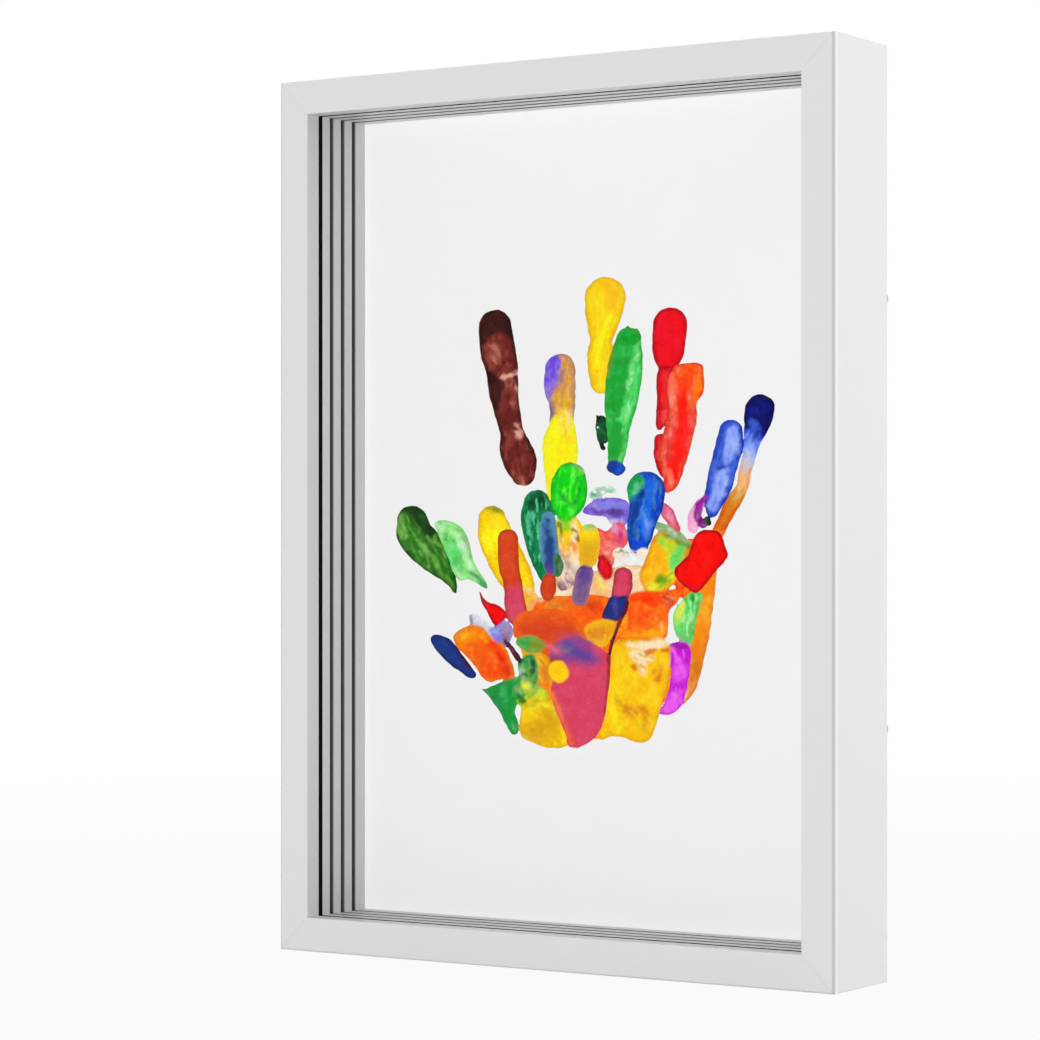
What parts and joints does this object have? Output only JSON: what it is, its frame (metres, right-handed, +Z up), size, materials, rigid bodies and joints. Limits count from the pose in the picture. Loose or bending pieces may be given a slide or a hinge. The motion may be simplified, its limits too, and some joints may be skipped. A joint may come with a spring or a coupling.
{
  "type": "layered handprint picture frame",
  "caption": "Deep white mitred box frame holding clear sheets in saw-cut slots one behind another, each with a painted handprint, over a white card and a board with turn buttons.",
  "frame": {"origin": "centre of the underside of the bottom rail, half way through the depth of the rails", "axes": "+X to the right as the prints are looked at, +Y from the front to the back, +Z up"},
  "size_m": [0.222, 0.0402, 0.309],
  "materials": {
    "rail_foil": "fibreboard wrapped in satin white foil, bare dark core in the saw cuts",
    "clear_acrylic": "clear polished acrylic",
    "card": "plain matt white card",
    "fibreboard": "plain brown fibreboard",
    "zinc_steel": "zinc plated",
    "brass_steel": "brass plated",
    "paint_smallest": "dried crimson, orange, blue and yellow craft paint",
    "paint_small": "dried orange, yellow, green and blue craft paint",
    "paint_large": "dried yellow, red, green and magenta craft paint",
    "paint_largest": "dried orange, brown, green and navy craft paint"
  },
  "bodies": {
    "frame": {"bottom_rail": "rail_foil", "top_rail": "rail_foil", "left_rail": "rail_foil", "right_rail": "rail_foil", "background_card": "card", "back_board": "fibreboard", "turn_button_screws": "zinc_steel", "corner_nails": "zinc_steel", "sawtooth_hanger": "brass_steel", "hanger_rivets": "brass_steel"},
    "sheet_1": {"acrylic_sheet_1": "clear_acrylic", "handprint_1": "paint_smallest"},
    "sheet_2": {"acrylic_sheet_2": "clear_acrylic", "handprint_2": "paint_small"},
    "sheet_3": {"acrylic_sheet_3": "clear_acrylic", "handprint_3": "paint_large"},
    "sheet_4": {"acrylic_sheet_4": "clear_acrylic", "handprint_4": "paint_largest"},
    "button_right_lower": {"turn_button_right_lower": "zinc_steel"},
    "button_right_upper": {"turn_button_right_upper": "zinc_steel"},
    "button_left_lower": {"turn_button_left_lower": "zinc_steel"},
    "button_left_upper": {"turn_button_left_upper": "zinc_steel"},
    "button_top": {"turn_button_top": "zinc_steel"},
    "button_bottom": {"turn_button_bottom": "zinc_steel"}
  },
  "joints": [
    {"name": "sheet_1_lift", "type": "slide", "parent": "frame", "child": "sheet_1", "axis": [0, 0, 1], "range_m": [0, 0.31]},
    {"name": "sheet_2_lift", "type": "slide", "parent": "frame", "child": "sheet_2", "axis": [0, 0, 1], "range_m": [0, 0.31]},
    {"name": "sheet_3_lift", "type": "slide", "parent": "frame", "child": "sheet_3", "axis": [0, 0, 1], "range_m": [0, 0.31]},
    {"name": "sheet_4_lift", "type": "slide", "parent": "frame", "child": "sheet_4", "axis": [0, 0, 1], "range_m": [0, 0.31]},
    {"name": "button_right_lower_turn", "type": "hinge", "parent": "frame", "child": "button_right_lower", "pos_m": [0.10825, 0.019, 0.08343], "axis": [0, 1, 0], "continuous": true},
    {"name": "button_right_upper_turn", "type": "hinge", "parent": "frame", "child": "button_right_upper", "pos_m": [0.10825, 0.019, 0.22557], "axis": [0, 1, 0], "continuous": true},
    {"name": "button_left_lower_turn", "type": "hinge", "parent": "frame", "child": "button_left_lower", "pos_m": [-0.10825, 0.019, 0.08343], "axis": [0, 1, 0], "continuous": true},
    {"name": "button_left_upper_turn", "type": "hinge", "parent": "frame", "child": "button_left_upper", "pos_m": [-0.10825, 0.019, 0.22557], "axis": [0, 1, 0], "continuous": true},
    {"name": "button_top_turn", "type": "hinge", "parent": "frame", "child": "button_top", "pos_m": [0, 0.019, 0.30625], "axis": [0, 1, 0], "continuous": true},
    {"name": "button_bottom_turn", "type": "hinge", "parent": "frame", "child": "button_bottom", "pos_m": [0, 0.019, 0.00275], "axis": [0, 1, 0], "continuous": true}
  ]
}
